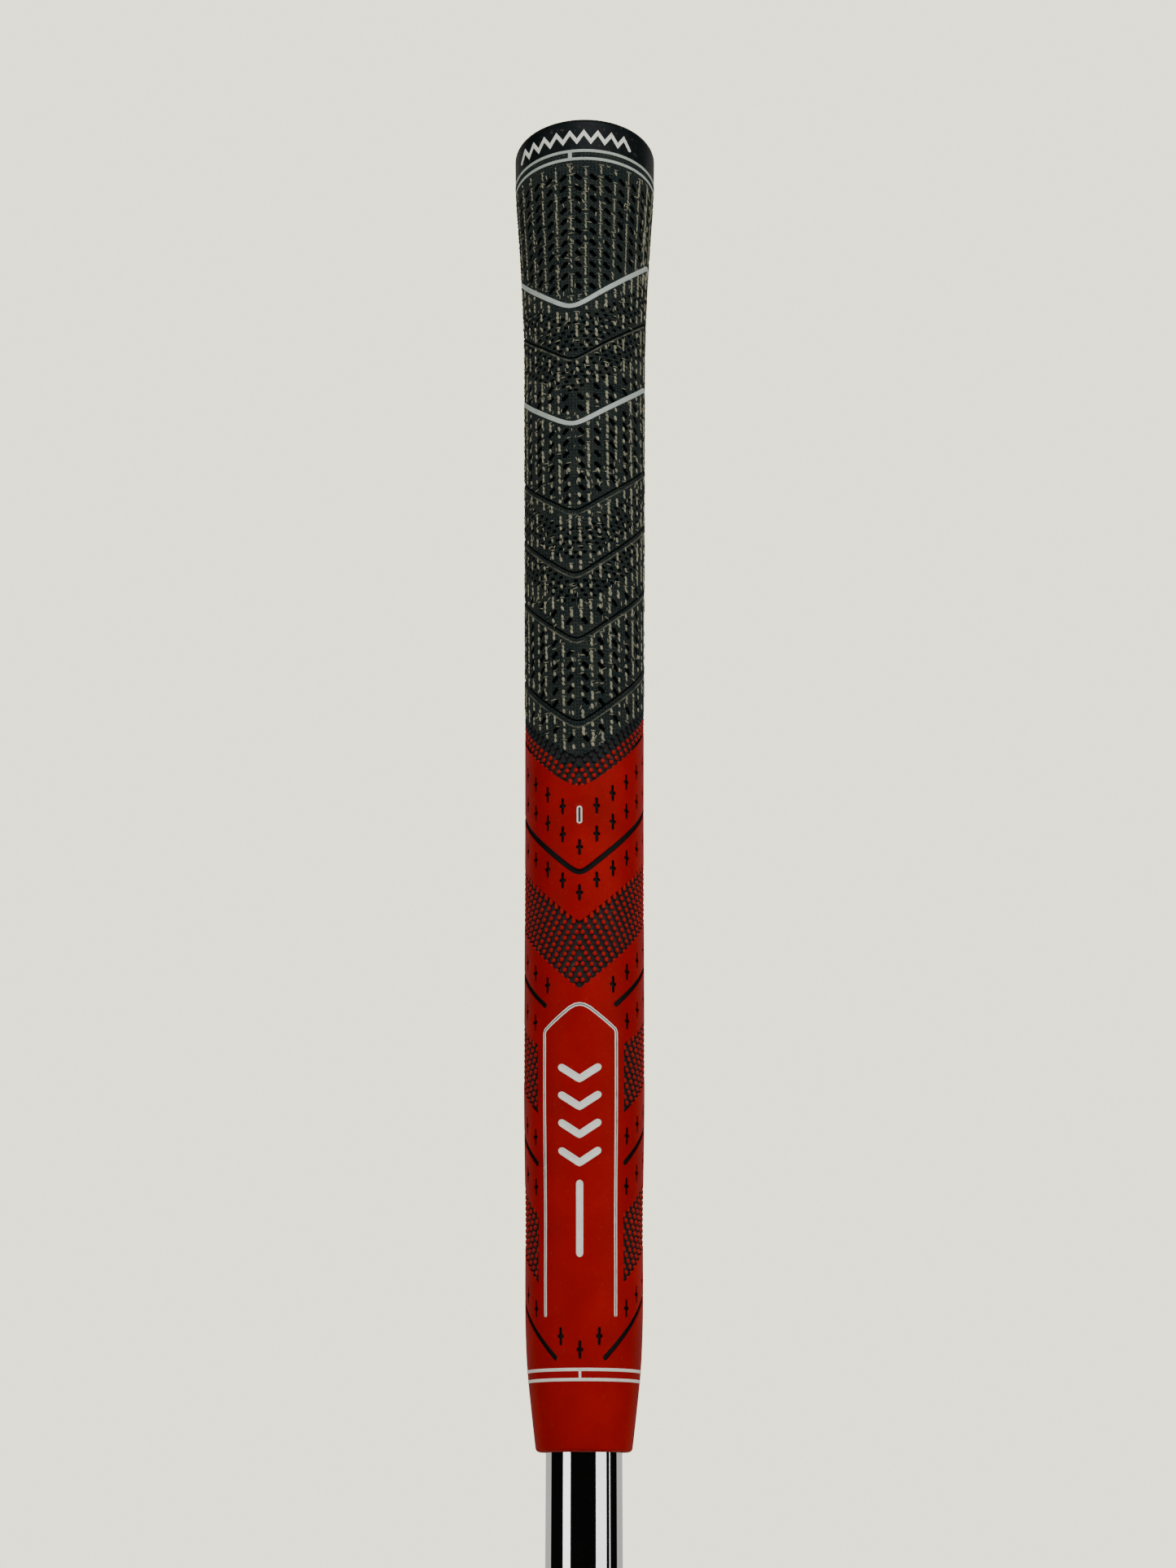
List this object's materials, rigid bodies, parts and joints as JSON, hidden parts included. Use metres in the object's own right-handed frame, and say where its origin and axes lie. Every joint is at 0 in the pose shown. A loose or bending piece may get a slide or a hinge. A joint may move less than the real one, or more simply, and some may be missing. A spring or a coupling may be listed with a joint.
{
  "type": "golf grip",
  "caption": "Golf grip on the butt of a steel shaft: corded black upper sleeve, red rubber lower sleeve, inlaid chevron lines and a flared butt cap.",
  "frame": {"origin": "centre of the shaft's cut end, on the shaft's axis", "axes": "+Z along the shaft's axis from the cut end to the butt cap; the grip's front, with the alignment mark, faces -Y; +X is to the right seen from the front"},
  "size_m": [0.0308, 0.0308, 0.3045],
  "materials": {
    "chrome": "polished chrome plate",
    "tape": "matt adhesive tape",
    "core_rubber": "matt moulded",
    "cotton_cord": "woven cotton cord",
    "black_rubber": "matt, buffed, with cord showing",
    "red_rubber": "satin moulded",
    "cap_rubber": "satin moulded",
    "pale_paint": "matt paint fill",
    "white_paint": "satin paint fill"
  },
  "bodies": {
    "root": {"shaft": "chrome", "grip_tape": "tape", "core_sleeve": "core_rubber", "cord_fabric": "cotton_cord", "upper_cord_sleeve": "black_rubber", "lower_rubber_sleeve": "red_rubber", "butt_cap": "cap_rubber", "cap_ring_inlay": "pale_paint", "high_chevron_inlay": "pale_paint", "low_chevron_inlay": "pale_paint", "collar_ring_inlay": "white_paint", "frame_line_inlay": "white_paint", "alignment_mark_inlay": "white_paint", "mark_chevron_1_inlay": "white_paint", "mark_chevron_2_inlay": "white_paint", "mark_chevron_3_inlay": "white_paint", "mark_chevron_4_inlay": "white_paint", "mark_bar_inlay": "white_paint", "cap_mark_inlay": "white_paint"}
  },
  "joints": []
}
